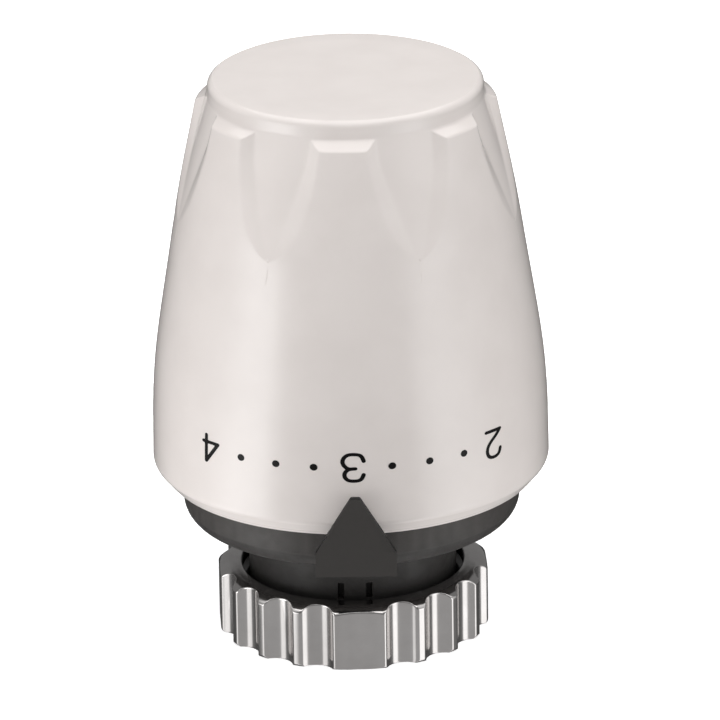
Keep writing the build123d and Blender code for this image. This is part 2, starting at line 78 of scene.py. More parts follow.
# Mesh rows of the wall, as (lowest, highest, how many), and where its columns stop being even
WALL_ROWS = [(24.6, 56.6, 30), (57.0, 71.4, 50), (71.5, 73.25, 22)]
EVEN_ROW_Z = 40.0
EVEN_TOP_Z = 46.0
EVEN_FADE = 10.0

# ---- Scale print: steps and places round the cap in degrees ----
SCALE_Z = 31.5
DIGIT_STEP = 45.0
DOT_STEP = 11.25
DOT_HALF_W = 0.52
DOT_HALF_H = 0.46
PEN_HALF_W = 0.28
PEN_HALF_H = 0.215
PRINT_CELL = 0.13
CUT_LEAST = 0.06
SCALE_SHIFT = 0.45
FROST_HEADING = 157.5
INK_LIFT = 0.006
INK_THICK = 0.012

# ---- Union nut: profiles as (radius, height) ----
NUT_R = 18.0
NUT_FLAT_DISTANCE = 17.6
NUT_FLAT_HEADING = 2.5
NUT_SIDES = 4
FLUTES_PER_SIDE = 4
FLUTE_PITCH = 18.0
FLUTE_R = 2.45
FLUTE_BOTTOM_R = 16.56
CREST_R = 17.94
CREST_ROUNDING = 0.6
CREST_POINTS = 8
FLUTE_POINTS = 17
INSIDE_CAD = 0.01
FOOT_CHAMFER = 0.42
# Rows at the foot and under the brow, as (inset, height) and (inset, drop)
FOOT_ROUNDING = [(0.08, 0.0), (0.04, 0.02), (0.01, 0.08), (0.0, 0.2), (0.0, 0.36)]
BRINK_ROUNDING = [(0.0, 0.22), (0.0, 0.08), (0.02, 0.02)]
NUT_WALL_LOW = 0.45
NUT_WALL_SHORTER = 0.6
BROW = [(16.15, 8.6), (17.3, 8.28), (18.0, 7.55)]
BROW_POINTS = 25
BROW_INSET = 0.03
NUT_SHARP_ANGLE = 50
NUT_FOOT_R = 14.8
NUT_FOOT_OUTER_R = 16.0
# Radii across which the nut's inside fades to a painted shade
BORE_SHADE = (14.62, 14.8)
THREAD_PITCH = 1.5
THREAD_MINOR_R = 14.19
THREAD_MAJOR_R = 14.95
THREAD_TOP = 4.2
THREAD_GAP = 0.02
THREAD_STEEPNESS = 1.3
THREAD_FLAT = 0.15
THREAD_RUN_OUT = 0.3
THREAD_LEAD_IN = 0.5
THREAD_ROWS = 46
MOUTH_FLARE = 0.25
MOUTH_FLARE_H = 0.3
NUT_INSIDE = [
    (16.0, 8.59), (15.5, 8.59), (14.8, 8.59), (14.68, 8.56), (14.61, 8.45), (14.61, 7.1), (14.5, 7.0),
    (12.3, 7.0), (12.08, 6.9), (12.08, 5.8), (12.2, 5.7), (15.0, 5.7), (15.09, 5.6),
    (15.09, THREAD_TOP + 0.15), (15.0, THREAD_TOP),
]

# ---- Pointer: edges rounded by modifiers ----
POINTER_ROUNDING = 0.2
POINTER_SHARP_ANGLE = 40
POINTER_JOIN = 0.002

# ---- Camera, as the object is seen; its reach is in metres ----
CAMERA_DISTANCE = 1060.0
CAMERA_ELEVATION = 20.84
CAMERA_PIVOT_Z = 40.0
CAMERA_AIM = (1.34, 0.0, 36.35)
CAMERA_ROLL = -0.87
LENS = 407.0
SENSOR_WIDTH = 36.0
CAMERA_REACH = 20.0

# ---- Light: lamps and floor in metres; brightness 1 looks like sunlit white paper ----
LIGHT_DISTANCE = 0.8
LIGHT_MIDDLE_Z = 0.04
# Each lamp's name, heading, elevation, size and brightness
LAMPS = [
    ("top_box", 0, 90, (1.2, 1.2), 1.55),
    ("high_left_box", -75, 45, (0.6, 0.42), 0.64),
    ("high_front_box", 0, 45, (0.5, 0.42), 1.15),
    ("high_right_box", 78, 45, (0.5, 0.42), 0.72),
    ("low_left_box", -74, 14, (0.6, 0.44), 0.2),
    ("low_right_box", 70, 14, (0.7, 0.44), 0.45),
]
WORLD_LIGHT = 0.22
FLOOR_SIDE = 6.0
FLOOR_GLOW = 0.64

# ---- Glowing cards: radii and heights in millimetres, glow as (heading, brightness) ----
CARD_STEP = 3.0
TABLE_CARD_NEAR = 44.0
TABLE_CARD_FAR = 1200.0
TABLE_CARD_LIFT = 0.05
TABLE_GLOW = [
    (-102, 0.0), (-90, 0.15), (-80, 0.6), (-70, 2.0), (-62, 3.3), (-48, 3.6), (-41, 1.7), (-34, 0.3),
    (0, 0.17), (32, 0.3), (42, 1.8), (54, 2.2), (68, 1.2), (84, 0.2), (104, 0.0),
]
WELL_CARD_NEAR = 1.0
WELL_CARD_FAR = 2000.0
WELL_DEPTH = 300.0
WELL_GLOW = [
    (-112, 0.08), (-84, 0.24), (-76, 1.2), (-52, 1.35), (-44, 0.44), (-20, 0.42), (20, 0.42),
    (44, 0.44), (51, 1.6), (76, 1.6), (84, 0.24), (112, 0.08),
]


# ------------------------------------------------------------ mesh helpers


def smooth_curve(points):
    """A smooth function through (position, value) points: a natural cubic spline."""
    x = np.array([p[0] for p in points])
    y = np.array([p[1] for p in points])
    step = np.diff(x)
    slope = np.diff(y) / step
    size = len(x)
    matrix = np.eye(size)
    right = np.zeros(size)
    for i in range(1, size - 1):
        matrix[i, i - 1:i + 2] = step[i - 1], 2 * (step[i - 1] + step[i]), step[i]
        right[i] = 6 * (slope[i] - slope[i - 1])
    bend = np.linalg.solve(matrix, right)

    def value(t):
        i = np.clip(np.searchsorted(x, t) - 1, 0, size - 2)
        a = (x[i + 1] - t) / step[i]
        b = (t - x[i]) / step[i]
        cubic = (a**3 - a) * bend[i] + (b**3 - b) * bend[i + 1]
        return a * y[i] + b * y[i + 1] + cubic * step[i] ** 2 / 6

    return value


def arc_points(start, middle, end, count):
    """Points along the circle through three (radius, height) points."""
    a, b, c = (complex(*p) for p in (start, middle, end))
    w = (c - a) / (b - a)
    centre = (b - a) * (w - abs(w) ** 2) / (2j * w.imag) + a
    turn_1 = np.angle((b - centre) / (a - centre))
    turn_2 = np.angle((c - centre) / (b - centre))
    steps = np.linspace(0, turn_1 + turn_2, count)
    return [(p.real, p.imag) for p in centre + (a - centre) * np.exp(1j * steps)]


def on_axis_point(radius, heading, height):
    """The place at that radius, heading in degrees and height."""
    angle = np.radians(heading)
    return np.stack([radius * np.sin(angle), -radius * np.cos(angle), height + 0 * angle], -1)


def new_object(name, vertices, faces):
    """A mesh object from points in millimetres."""
    mesh = bpy.data.meshes.new(name)
    mesh.from_pydata([tuple(v * MM) for v in np.asarray(vertices, float)], [], faces)
    mesh.validate()
    mesh.update()
    obj = bpy.data.objects.new(name, mesh)
    bpy.context.scene.collection.objects.link(obj)
    return obj


def ring_skin(name, rings, ends):
    """A skin over rings about the axis. ends: "poles" closes both, "loop" joins last to first."""
    count = len(rings[0])
    vertices = np.concatenate(rings)
    faces = []
    pairs = list(zip(range(len(rings) - 1), range(1, len(rings))))
    if ends == "loop":
        pairs.append((len(rings) - 1, 0))
    for low, high in pairs:
        for i in range(count):
            j = (i + 1) % count
            faces.append((low * count + i, low * count + j, high * count + j, high * count + i))
    if ends == "poles":
        first = len(vertices)
        poles = [rings[0].mean(0), rings[-1].mean(0)]
        vertices = np.concatenate([vertices, poles])
        last_row = (len(rings) - 1) * count
        for i in range(count):
            j = (i + 1) % count
            faces.append((j, i, first))
            faces.append((last_row + i, last_row + j, first + 1))
    obj = new_object(name, vertices, faces)
    obj.data.shade_smooth()
    return obj


def sharpen(obj, degrees):
    """Edges that bend more than this stay sharp."""
    obj.data.set_sharp_from_angle(angle=math.radians(degrees))


# ------------------------------------------------------------ material helpers


class Surface:
    """A procedural material on one Principled shader, built step by step."""

    def __init__(self, name, color, roughness, metallic=0.0, **shader):
        self.material = bpy.data.materials.new(name)
        self.material.use_nodes = True
        self.tree = self.material.node_tree
        self.shader = self.tree.nodes["Principled BSDF"]
        self.set("Base Color", (*color, 1))
        self.set("Roughness", roughness)
        self.set("Metallic", metallic)
        for key, value in shader.items():
            self.set(key.replace("_", " "), value)
        self.place = self.add("ShaderNodeTexCoord").outputs["Object"]
        self.bumps = None

    def set(self, socket, value):
        """Gives the shader one even value."""
        self.shader.inputs[socket].default_value = value

    def add(self, kind, **values):
        """A new node of that kind."""
        node = self.tree.nodes.new(kind)
        for key, value in values.items():
            setattr(node, key, value)
        return node

    def link(self, source, target):
        self.tree.links.new(source, target)

    def noise(self, scale, detail=3.0, stretch=(1, 1, 1), rough=0.5):
        """Noise over the object; scale counts features in a metre."""
        mapping = self.add("ShaderNodeMapping")
        mapping.inputs["Scale"].default_value = stretch
        self.link(self.place, mapping.inputs["Vector"])
        node = self.add("ShaderNodeTexNoise")
        node.inputs["Scale"].default_value = scale
        node.inputs["Detail"].default_value = detail
        node.inputs["Roughness"].default_value = rough
        self.link(mapping.outputs["Vector"], node.inputs["Vector"])
        return node.outputs["Fac"]

    def edges(self, low=0.52, high=0.62):
        """From 0 on flat faces to 1 along outward edges."""
        pointed = self.add("ShaderNodeNewGeometry").outputs["Pointiness"]
        return self.spread(pointed, low, high, 0, 1)

    def spread(self, source, low, high, to_low, to_high):
        """The source, stretched from low..high to to_low..to_high and held at the ends."""
        node = self.add("ShaderNodeMapRange")
        limits = {"From Min": low, "From Max": high, "To Min": to_low, "To Max": to_high}
        for key, value in limits.items():
            node.inputs[key].default_value = value
        self.link(source, node.inputs["Value"])
        return node.outputs["Result"]

    def math(self, operation, a, b):
        """One sum on two values or sockets."""
        node = self.add("ShaderNodeMath", operation=operation)
        for socket, value in zip(node.inputs, (a, b)):
            if isinstance(value, (int, float)):
                socket.default_value = value
            else:
                self.link(value, socket)
        return node.outputs["Value"]

    def blend(self, amount, first, second):
        """A colour between two colours."""
        node = self.add("ShaderNodeMix", data_type="RGBA")
        self.link(amount, node.inputs["Factor"])
        for socket, value in ((node.inputs["A"], first), (node.inputs["B"], second)):
            if isinstance(value, tuple):
                socket.default_value = (*value, 1)
            else:
                self.link(value, socket)
        return node.outputs["Result"]

    def paint(self, source, socket="Base Color"):
        """Lets the source drive one of the shader's sockets."""
        self.link(source, self.shader.inputs[socket])

    def bump(self, height, depth):
        """Adds relief of that depth in millimetres."""
        node = self.add("ShaderNodeBump")
        node.inputs["Distance"].default_value = depth * MM
        self.link(height, node.inputs["Height"])
        if self.bumps is not None:
            self.link(self.bumps, node.inputs["Normal"])
        self.bumps = node.outputs["Normal"]
        self.link(self.bumps, self.shader.inputs["Normal"])


def gloss_white():
    """Moulded glossy white plastic: slight orange peel, faint mottling, dull rubbed patches."""
    s = Surface("gloss_white", (0.84, 0.785, 0.755), 0.12, IOR=1.5)
    mottling = s.spread(s.noise(160, 4), 0.35, 0.65, 0, 1)
    s.paint(s.blend(mottling, (0.83, 0.772, 0.742), (0.855, 0.797, 0.767)))
    rubbed = s.spread(s.noise(90, 6, rough=0.65), 0.3, 0.75, 0.09, 0.17)
    s.paint(rubbed, "Roughness")
    s.bump(s.noise(900, 2), 0.0025)
    return s.material


def moulded_black(name, tone, grain_depth, side_shade_tone=None):
    """Matt moulded black plastic: fine grain, dusty variation, edges lighter: partly rubbed wear,
    partly a painted highlight.

    Given a side tone, faces that don't look forwards or back have that tone as far as the edges: a
    painted shade. A band on the bevels round the front face has the lighter edge tone: a painted
    highlight.
    """
    s = Surface(name, (tone, tone * 0.93, tone * 0.9), 0.5, Specular_IOR_Level=0.3)
    dust = s.spread(s.noise(230, 6, rough=0.7), 0.35, 0.7, 0, 1)
    dull = (tone * 0.85, tone * 0.79, tone * 0.76)
    pale = (tone * 1.2, tone * 1.13, tone * 1.08)
    dusty = s.blend(dust, dull, pale)
    # Lighter tone along the edges, found by pointiness: partly rubbed wear, partly a painted highlight
    # on the bevels
    rubbed = (tone * 2.2, tone * 2.05, tone * 1.95)
    face = s.blend(s.edges(), dusty, rubbed)
    # Painted shade on the sides, chosen by the object-space normal, and a painted highlight band on the
    # bevels between sides and front
    if side_shade_tone is not None:
        normal = s.add("ShaderNodeSeparateXYZ")
        s.link(s.add("ShaderNodeTexCoord").outputs["Normal"], normal.inputs["Vector"])
        forward = s.math("ABSOLUTE", normal.outputs["Y"], 0)
        # Facing forwards less than 0.72: the dark side tone, painted shade; from 0.82 up to the front
        # face: the lighter edge tone, a painted highlight
        rim = s.blend(s.spread(forward, 0.72, 0.82, 0, 1), (side_shade_tone, side_shade_tone, side_shade_tone), rubbed)
        face = s.blend(s.spread(forward, 0.96, 0.995, 0, 1), rim, face)
    s.paint(face)
    s.paint(s.spread(s.noise(700, 4), 0.3, 0.7, 0.42, 0.6), "Roughness")
    s.bump(s.noise(5200, 3), grain_depth)
    return s.material


def nickel_plate():
    """Nickel plating over a drawn profile: streaks along the flutes, bright rubbed edges, the inside
    painted near black as shade.
    """
    s = Surface("nickel_plate", (0.6, 0.58, 0.57), 0.25, metallic=1.0)
    streaks = s.noise(900, 5, stretch=(1, 1, 0.06))
    stains = s.noise(140, 5, rough=0.6)
    tone = s.spread(stains, 0.3, 0.7, 0, 1)
    plated = s.blend(tone, (0.55, 0.53, 0.52), (0.64, 0.62, 0.61))
    shiny = s.blend(s.edges(0.53, 0.6), plated, (0.82, 0.8, 0.79))
    across = s.add("ShaderNodeVectorMath", operation="MULTIPLY")
    s.link(s.place, across.inputs[0])
    across.inputs[1].default_value = (1, 1, 0)
    from_axis = s.add("ShaderNodeVectorMath", operation="LENGTH")
    s.link(across.outputs["Vector"], from_axis.inputs[0])
    # Inward of these radii the nut's inside is painted near black: a painted shade in the recess
    bore_shade_mask = s.spread(from_axis.outputs["Value"], BORE_SHADE[0] * MM, BORE_SHADE[1] * MM, 0, 1)
    s.paint(s.blend(bore_shade_mask, (0.03, 0.028, 0.027), shiny))
    s.paint(s.spread(streaks, 0.3, 0.7, 0.1, 0.2), "Roughness")
    s.bump(streaks, 0.0012)
    return s.material


def printing_ink():
    """Pad-printed black ink: dense, slightly uneven at the edges of each mark."""
    s = Surface("printing_ink", (0.006, 0.005, 0.005), 0.35, Specular_IOR_Level=0.15)
    s.paint(s.spread(s.noise(2500, 3), 0.3, 0.7, 0.28, 0.45), "Roughness")
    s.bump(s.noise(6000, 2), 0.003)
    return s.material


def inner_metal(name, color, dark, stretch, rough_low, rough_high):
    """Plain metal of the inner parts, drawn or turned, with light tarnish."""
    s = Surface(name, color, rough_low, metallic=1.0)
    tarnish = s.spread(s.noise(260, 6, rough=0.65), 0.4, 0.75, 0, 1)
    s.paint(s.blend(tarnish, color, dark))
    lines = s.noise(3000, 4, stretch=stretch)
    s.paint(s.spread(lines, 0.3, 0.7, rough_low, rough_high), "Roughness")
    s.bump(lines, 0.003)
    return s.material


def inner_nylon(name, color, shade):
    """Unfilled nylon of the inner parts: waxy, faintly mottled."""
    s = Surface(name, color, 0.45, IOR=1.53)
    s.paint(s.blend(s.spread(s.noise(300, 5), 0.35, 0.7, 0, 1), color, shade))
    s.paint(s.spread(s.noise(900, 3), 0.3, 0.7, 0.38, 0.55), "Roughness")
    s.bump(s.noise(2600, 2), 0.006)
    return s.material


def dress(obj, material):
    """Gives an object that one material."""
    obj.data.materials.clear()
    obj.data.materials.append(material)


# ------------------------------------------------------------ the cap

taper = smooth_curve(TAPER)


def between(points, height):
    """Straight-line value at a height in a list of (height, value)."""
    return np.interp(height, [p[0] for p in points], [p[1] for p in points])


def soft_step(x):
    """From 0 below 0 to 1 above 1, straight between, rounded at both ends."""
    r = ROUNDING
    low = np.where(x < r, (np.clip(x, -r, r) + r) ** 2 / (4 * r), x)
    over = 1 - low
    return 1 - np.where(over < r, (np.clip(over, -r, r) + r) ** 2 / (4 * r), over)


def cap_radius(offset, height):
    """Radius of the cap at an angle from the nearest groove's middle."""
    panel = taper(height)
    fall = (FLOOR_TOP[1] - FLOOR_TIP[1]) / (FLOOR_TOP[0] - FLOOR_TIP[0])
    floor = np.minimum(FLOOR_TIP[1] + fall * (height - FLOOR_TIP[0]), panel)
    inner = between(GROOVE_FLOOR, height)
    outer = np.maximum(between(GROOVE_EDGE, height), inner + GROOVE_WALL_LEAST)
    side = (np.abs(offset) - inner) / (outer - inner)
    top = (BEVEL_TOP_Z - height) / (BEVEL_TOP_Z - PANEL_TOP_Z)
    return floor + (panel - floor) * soft_step(np.minimum(side, top))


def groove_columns(height):
    """Angles from a groove's middle where the mesh has columns, packed along its edges."""
    inner = float(between(GROOVE_FLOOR, height))
    outer = max(float(between(GROOVE_EDGE, height)), inner + GROOVE_WALL_LEAST)
    floor_shares = np.array([0, 0.45, 0.75, 0.9, 1.0])
    wall_shares = np.array([0.06, 0.14, 0.22, 0.36, 0.5, 0.64, 0.78, 0.86, 0.94, 1.0])
    panel_shares = np.array([0.02, 0.06, 0.14, 0.26, 0.42, 0.6, 0.8, 1.0])
    packed = np.concatenate([
        inner * floor_shares,
        inner + (outer - inner) * wall_shares,
        outer + (HALF_PITCH - outer) * panel_shares,
    ])
    even = np.linspace(0, HALF_PITCH, len(packed))
    packing = np.clip((height - EVEN_TOP_Z) / EVEN_FADE, 0, 1)
    return packed * packing + even * (1 - packing)


def cap_ring(height):
    """One ring of the cap's grooved wall."""
    half = groove_columns(height)
    offset = np.concatenate([half[:-1], -half[:0:-1]])
    radius = cap_radius(offset, height)
    onward = np.where(offset < 0, offset + 2 * HALF_PITCH, offset)
    stretches = []
    for i in range(PANELS):
        middle = PANEL_HEADING + HALF_PITCH + 2 * HALF_PITCH * i
        stretches.append(on_axis_point(radius, middle + onward, height))
    return np.concatenate(stretches)


def plain_ring(radius, height, like):
    """A round ring with its columns at the headings of another ring."""
    headings = np.degrees(np.arctan2(like[:, 0], -like[:, 1]))
    return on_axis_point(np.full(len(like), radius), headings, height)


def dial_cap():
    """The white cap: rim lip, shoulder, tapered wall with seven grip panels, top disc, inside."""
    low_ring = cap_ring(EVEN_ROW_Z)
    inside = [
        (6, 73.5), (15.2, 73.5), (16.5, 72), (18.5, 65), (20.4, 58.3), (21.4, 52), (22.8, 44),
        (23.65, 37), (24.15, 30), (24.1, 26.2), (CAP_BORE_R, 24.4), (CAP_BORE_R, 22),
    ]
    rim = [(CAP_BORE_R + 0.02, CAP_RIM_Z + 0.1), (CAP_BORE_R + 0.1, CAP_RIM_Z), (24.1, CAP_RIM_Z)]
    rim += [(CAP_RIM_R - 0.04, CAP_RIM_Z + 0.01), (CAP_RIM_R, CAP_RIM_Z + 0.05)]
    rim += [(24.44, 22.02), (24.47, 22.06), (24.55, 22.1), (24.62, 22.15)]
    low, high = Vector(rim[-1]), Vector(CONE_HIGH)
    cone = [tuple(low.lerp(high, t)) for t in (0.1, 0.4, 0.7, 0.95)]
    shoulder = arc_points(CONE_HIGH, SHOULDER_MIDDLE, (25.88, 24.1), 7)
    rings = [plain_ring(r, z, low_ring) for r, z in inside + rim + cone + shoulder]
    for lowest, highest, rows in WALL_ROWS:
        rings += [cap_ring(height) for height in np.linspace(lowest, highest, rows)]
    top_ring = rings[-1]
    neck = [(17.93, 73.6), (17.88, 74.1)] + arc_points((17.84, 74.4), (17.68, 75.08), (17.26, 75.44), 8)
    disc = [(DISC_R + 0.04, CAP_TOP_Z - 0.01), (DISC_R, CAP_TOP_Z - 0.03)]
    disc += [(DISC_R - 0.06, CAP_TOP_Z - 0.01)]
    disc += [(r, CAP_TOP_Z) for r in (DISC_R - 0.16, 14, 9, 4)]
    rings += [plain_ring(r, z, top_ring) for r, z in neck + disc]
    return ring_skin("cap_shell", rings, "poles")


# ------------------------------------------------------------ the printed scale


def rounded_path(points, corners=()):
    """A curve through points as a dense chain, straight at the corners named by number."""
    chain = []
    cuts = [0, *corners, len(points) - 1]
    for first, last in zip(cuts, cuts[1:]):
        run = np.array(points[first:last + 1], float)
        gaps = np.hypot(*np.diff(run, axis=0).T)
        way = np.concatenate([[0], np.cumsum(gaps)])
        steps = np.linspace(0, way[-1], 4 * len(run) + 8)
        curves = [smooth_curve(list(zip(way, run[:, axis]))) for axis in (0, 1)]
        chain += [np.stack([curve(steps) for curve in curves], -1)]
    return np.concatenate(chain)


def digit_paths():
    """Centre lines of the printed digits, upright, in millimetres from each digit's middle."""
    waist = (-0.3, 0.13)
    bowl = [(-1.35, 0.95), (-1.0, 1.6), (-0.1, 1.8), (0.85, 1.55), (1.12, 0.95), (0.75, 0.35), waist]
    belly = [
        waist, (0.75, 0.05), (1.34, -0.8), (0.95, -1.55), (-0.1, -1.8), (-1.05, -1.55),
        (-1.38, -0.85),
    ]
    swan = [
        (-1.2, 0.8), (-0.9, 1.5), (0, 1.8), (0.95, 1.5), (1.2, 0.8), (0.8, -0.1), (-0.3, -0.95),
        (-1.25, -1.78),
    ]
    sail = [(1.3, -0.85), (-1.3, -0.85), (0.77, 1.77), (0.77, -1.77)]
    hook = [
        (0.95, 1.78), (-0.85, 1.78), (-1.1, 0.15), (-0.1, 0.5), (0.95, 0.2), (1.3, -0.65), (0.8, -1.55),
        (-0.2, -1.8), (-1.3, -1.3),
    ]
    ray = 0.95
    star = [[(ray * math.cos(t), ray * math.sin(t)), (0, 0)] for t in np.radians(range(30, 390, 60))]
    return {
        "1": [rounded_path([(-0.75, 1.1), (0.15, 1.78), (0.15, -1.78)], (1,))],
        "2": [rounded_path(swan), rounded_path([swan[-1], (1.3, -1.78)])],
        "3": [rounded_path(bowl), rounded_path(belly)],
        "4": [rounded_path(sail, (1, 2))],
        "5": [rounded_path(hook, (1, 2))],
        "*": [rounded_path(arm) for arm in star],
    }


def pen_marks(paths):
    """Flat mesh of pen strokes along the paths: an even grid, trimmed where the ink ends."""
    low = np.min([path.min(0) for path in paths], 0) - 2 * PEN_HALF_W
    high = np.max([path.max(0) for path in paths], 0) + 2 * PEN_HALF_W
    xs = np.arange(low[0], high[0], PRINT_CELL)
    ys = np.arange(low[1], high[1], PRINT_CELL)
    squeeze = np.array([PEN_HALF_H / PEN_HALF_W, 1.0])
    spots = np.stack(np.meshgrid(xs, ys, indexing="ij"), -1) * squeeze
    gap = np.full(spots.shape[:2], np.inf)
    for path in paths:
        starts, runs = path[:-1] * squeeze, np.diff(path, axis=0) * squeeze
        for start, run in zip(starts, runs):
            along = np.clip((spots - start) @ run / max(run @ run, 1e-12), 0, 1)
            gap = np.minimum(gap, np.linalg.norm(spots - start - along[..., None] * run, axis=-1))
    return trimmed_grid(xs, ys, gap - PEN_HALF_H)


def trimmed_grid(xs, ys, field):
    """Flat mesh of the part of a grid where the field is below zero, with a smooth rim."""
    bm = bmesh.new()
    known = {}

    def corner(i, j):
        if (i, j) not in known:
            known[i, j] = bm.verts.new((xs[i], ys[j], 0))
        return known[i, j]

    def crossing(a, b):
        a, b = sorted((a, b))
        if (a, b) not in known:
            share = np.clip(field[a] / (field[a] - field[b]), CUT_LEAST, 1 - CUT_LEAST)
            x = xs[a[0]] + (xs[b[0]] - xs[a[0]]) * share
            y = ys[a[1]] + (ys[b[1]] - ys[a[1]]) * share
            known[a, b] = bm.verts.new((x, y, 0))
        return known[a, b]

    for i in range(len(xs) - 1):
        for j in range(len(ys) - 1):
            loop = [(i, j), (i + 1, j), (i + 1, j + 1), (i, j + 1)]
            face = []
            for a, b in zip(loop, loop[1:] + loop[:1]):
                if field[a] < 0:
                    face.append(corner(*a))
                if (field[a] < 0) != (field[b] < 0):
                    face.append(crossing(a, b))
            if len(face) > 2:
                bm.faces.new(face)
    return bm


def wrap_on_cap(bm, heading, height):
    """Lays a flat mesh on the cap's wall, upside down, to be read from the cap's end."""
    for v in bm.verts:
        z = height - v.co.y
        radius = float(taper(z)) + INK_LIFT
        angle = heading - math.degrees(v.co.x / radius)
        v.co = Vector(on_axis_point(radius, np.array(angle), z)) * MM


def thicken(obj, depth):
    """Gives a thin film its thickness outwards."""
    film = obj.modifiers.new("film", "SOLIDIFY")
    film.thickness = depth * MM
    film.offset = 1.0


def printed(name, marks):
    """One printed object from a list of flat wrapped meshes."""
    whole = bmesh.new()
    for bm in marks:
        part = bpy.data.meshes.new("mark")
        bm.to_mesh(part)
        bm.free()
        whole.from_mesh(part)
        bpy.data.meshes.remove(part)
    bmesh.ops.recalc_face_normals(whole, faces=whole.faces)
    mesh = bpy.data.meshes.new(name)
    whole.to_mesh(mesh)
    whole.free()
    obj = bpy.data.objects.new(name, mesh)
    bpy.context.scene.collection.objects.link(obj)
    return obj


def scale_digits():
    """Digits 1 to 5 and a frost star."""
    marks = []
    headings = {str(digit): (3 - digit) * DIGIT_STEP for digit in range(1, 6)}
    headings["*"] = FROST_HEADING
    for text, paths in digit_paths().items():
        bm = pen_marks(paths)
        wrap_on_cap(bm, headings[text] + SCALE_SHIFT, SCALE_Z)
        marks.append(bm)
    return printed("scale_digits", marks)


def scale_dots():
    """Three dots on each side of the 3, up to the 2 and the 4."""
    marks = []
    even = np.arange(-DOT_HALF_W - PRINT_CELL, DOT_HALF_W + 2 * PRINT_CELL, PRINT_CELL)
    across, up = np.meshgrid(even, even, indexing="ij")
    for i in (-3, -2, -1, 1, 2, 3):
        bm = trimmed_grid(even, even, np.hypot(across / DOT_HALF_W, up / DOT_HALF_H) - 1)
        wrap_on_cap(bm, i * DOT_STEP + SCALE_SHIFT, SCALE_Z)
        marks.append(bm)
    return printed("scale_dots", marks)


# ------------------------------------------------------------ the union nut


def arc_run(centre, radius, start, end, count):
    """Points (x, forward) along an arc about a centre; angles in degrees from straight ahead."""
    turns = np.radians(np.linspace(start, end, count))
    return [(centre[0] + radius * math.sin(t), centre[1] + radius * math.cos(t)) for t in turns]


def nut_outline():
    """Headings and radii of the nut seen along its axis, over all its sides."""
    flute_far = FLUTE_BOTTOM_R + FLUTE_R
    crest_far = CREST_R - CREST_ROUNDING
    reach = FLUTE_R + CREST_ROUNDING
    cosine = (crest_far**2 + flute_far**2 - reach**2) / (2 * crest_far * flute_far)
    turn = math.degrees(math.acos(cosine))

    def spot(distance, heading):
        """The place (x, forward) at that distance from the axis."""
        angle = math.radians(heading)
        return distance * math.sin(angle), distance * math.cos(angle)

    def bearing(start, end):
        """The heading in which one place is seen from another."""
        return math.degrees(math.atan2(end[0] - start[0], end[1] - start[1]))

    first = spot(flute_far, FLUTE_PITCH)
    corner_y = NUT_FLAT_DISTANCE - CREST_ROUNDING
    corner = (first[0] - math.sqrt(reach**2 - (first[1] - corner_y) ** 2), corner_y)
    rounding = CREST_ROUNDING - INSIDE_CAD
    line = [(corner[0] * t, NUT_FLAT_DISTANCE - INSIDE_CAD) for t in (0, 0.3, 0.6, 0.85)]
    line += arc_run(corner, rounding, 0, bearing(corner, first), CREST_POINTS)
    for index in range(FLUTES_PER_SIDE // 2):
        heading = FLUTE_PITCH * (index + 1)
        middle = heading + FLUTE_PITCH / 2
        top = heading + turn
        centre = spot(flute_far, heading)
        crest = spot(crest_far, top)
        back = bearing(crest, centre)
        enter = bearing(centre, line[-1]) % 360
        line += arc_run(centre, FLUTE_R, enter, bearing(centre, crest) % 360, FLUTE_POINTS)[1:]
        line += arc_run(crest, rounding, back, top, CREST_POINTS)[1:]
        if index < FLUTES_PER_SIDE // 2 - 1:
            crest = spot(crest_far, 2 * middle - top)
            line += arc_run(crest, rounding, 2 * middle - top, 2 * middle - back, CREST_POINTS)
        else:
            line.append(spot(CREST_R - INSIDE_CAD, middle))

    side_turn = 360 / NUT_SIDES
    angles = np.degrees(np.arctan2([p[0] for p in line], [p[1] for p in line]))
    radii = np.hypot([p[0] for p in line], [p[1] for p in line])
    angles = np.concatenate([angles, side_turn - angles[-2:0:-1]])
    radii = np.concatenate([radii, radii[-2:0:-1]])
    headings = [NUT_FLAT_HEADING + angles + side_turn * side for side in range(NUT_SIDES)]
    return np.concatenate(headings), np.tile(radii, NUT_SIDES)


def thread_radius(heading, height):
    """Radius of the inside thread, a rounded zigzag that climbs one pitch a turn."""
    phase = (height / THREAD_PITCH - heading / 360) % 1.0
    depth = np.clip(abs(phase - 0.5) * 2 * THREAD_STEEPNESS - THREAD_FLAT, 0, 1)
    run_out = np.clip((THREAD_TOP - height) / THREAD_RUN_OUT, 0, 1)
    fade = run_out * np.clip(height / THREAD_LEAD_IN, 0, 1)
    return THREAD_MINOR_R + (THREAD_MAJOR_R - THREAD_MINOR_R) * depth * fade


